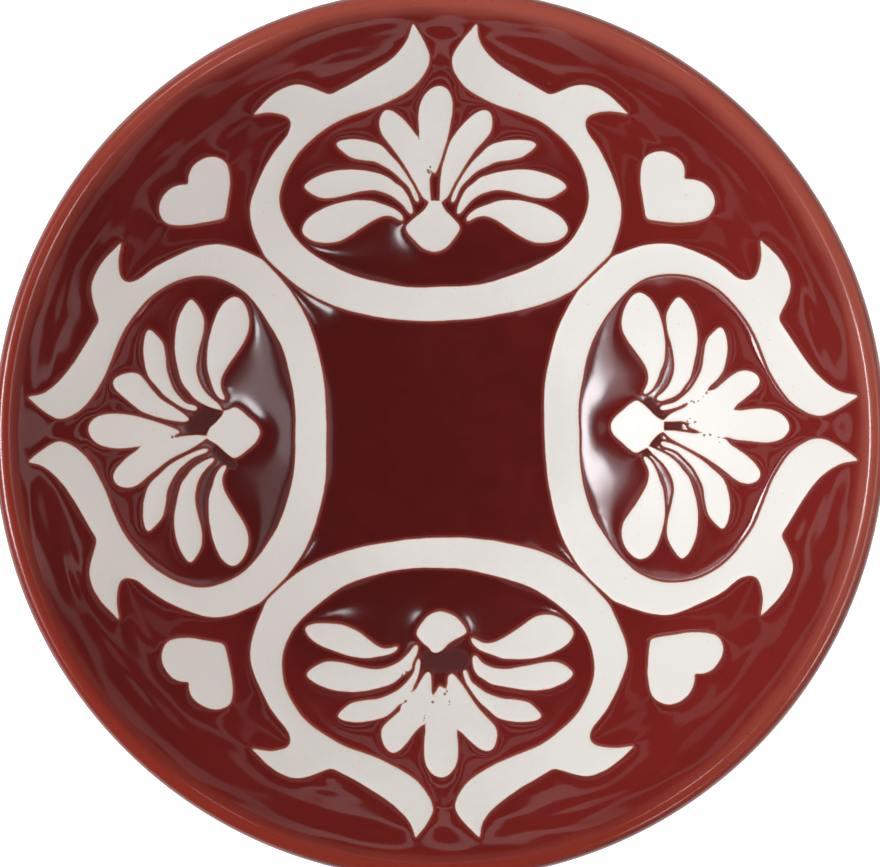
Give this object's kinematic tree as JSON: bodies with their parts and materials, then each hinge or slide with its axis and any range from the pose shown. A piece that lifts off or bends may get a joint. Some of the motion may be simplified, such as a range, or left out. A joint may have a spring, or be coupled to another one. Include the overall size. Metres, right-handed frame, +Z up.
{
  "type": "bowl",
  "caption": "Shallow round ceramic bowl with a foot ring, a rounded lip and a raised red glaze ground around white palmette, ogee and heart figures.",
  "frame": {"origin": "middle of the foot ring, in the plane of the table that it stands on", "axes": "+Z up along the bowl's axis, out of its mouth; +Y towards the first palmette motif, with the others a quarter turn apart"},
  "size_m": [0.16, 0.16, 0.042],
  "materials": {
    "red_clay": "bare fired red earthenware, matt and slightly sandy",
    "red_ground_glaze": "thick deep red glaze, high gloss, pooled",
    "thin_red_glaze": "thin red-brown glaze, gloss, lighter where it breaks over an edge",
    "white_slip": "warm white slip, satin to matt"
  },
  "bodies": {
    "root": {"clay_body": "red_clay", "ground_glaze": "red_ground_glaze", "lip_glaze": "thin_red_glaze", "outside_glaze": "thin_red_glaze", "palmette_1_frame": "white_slip", "palmette_1_petal_1": "white_slip", "palmette_1_petal_2": "white_slip", "palmette_1_petal_3": "white_slip", "palmette_1_petal_4": "white_slip", "palmette_1_petal_5": "white_slip", "palmette_1_petal_6": "white_slip", "palmette_1_petal_7": "white_slip", "palmette_1_petal_8": "white_slip", "palmette_1_petal_9": "white_slip", "palmette_1_diamond": "white_slip", "heart_1": "white_slip", "palmette_2_frame": "white_slip", "palmette_2_petal_1": "white_slip", "palmette_2_petal_2": "white_slip", "palmette_2_petal_3": "white_slip", "palmette_2_petal_4": "white_slip", "palmette_2_petal_5": "white_slip", "palmette_2_petal_6": "white_slip", "palmette_2_petal_7": "white_slip", "palmette_2_petal_8": "white_slip", "palmette_2_petal_9": "white_slip", "palmette_2_diamond": "white_slip", "heart_2": "white_slip", "palmette_3_frame": "white_slip", "palmette_3_petal_1": "white_slip", "palmette_3_petal_2": "white_slip", "palmette_3_petal_3": "white_slip", "palmette_3_petal_4": "white_slip", "palmette_3_petal_5": "white_slip", "palmette_3_petal_6": "white_slip", "palmette_3_petal_7": "white_slip", "palmette_3_petal_8": "white_slip", "palmette_3_petal_9": "white_slip", "palmette_3_diamond": "white_slip", "heart_3": "white_slip", "palmette_4_frame": "white_slip", "palmette_4_petal_1": "white_slip", "palmette_4_petal_2": "white_slip", "palmette_4_petal_3": "white_slip", "palmette_4_petal_4": "white_slip", "palmette_4_petal_5": "white_slip", "palmette_4_petal_6": "white_slip", "palmette_4_petal_7": "white_slip", "palmette_4_petal_8": "white_slip", "palmette_4_petal_9": "white_slip", "palmette_4_diamond": "white_slip", "heart_4": "white_slip"}
  },
  "joints": []
}
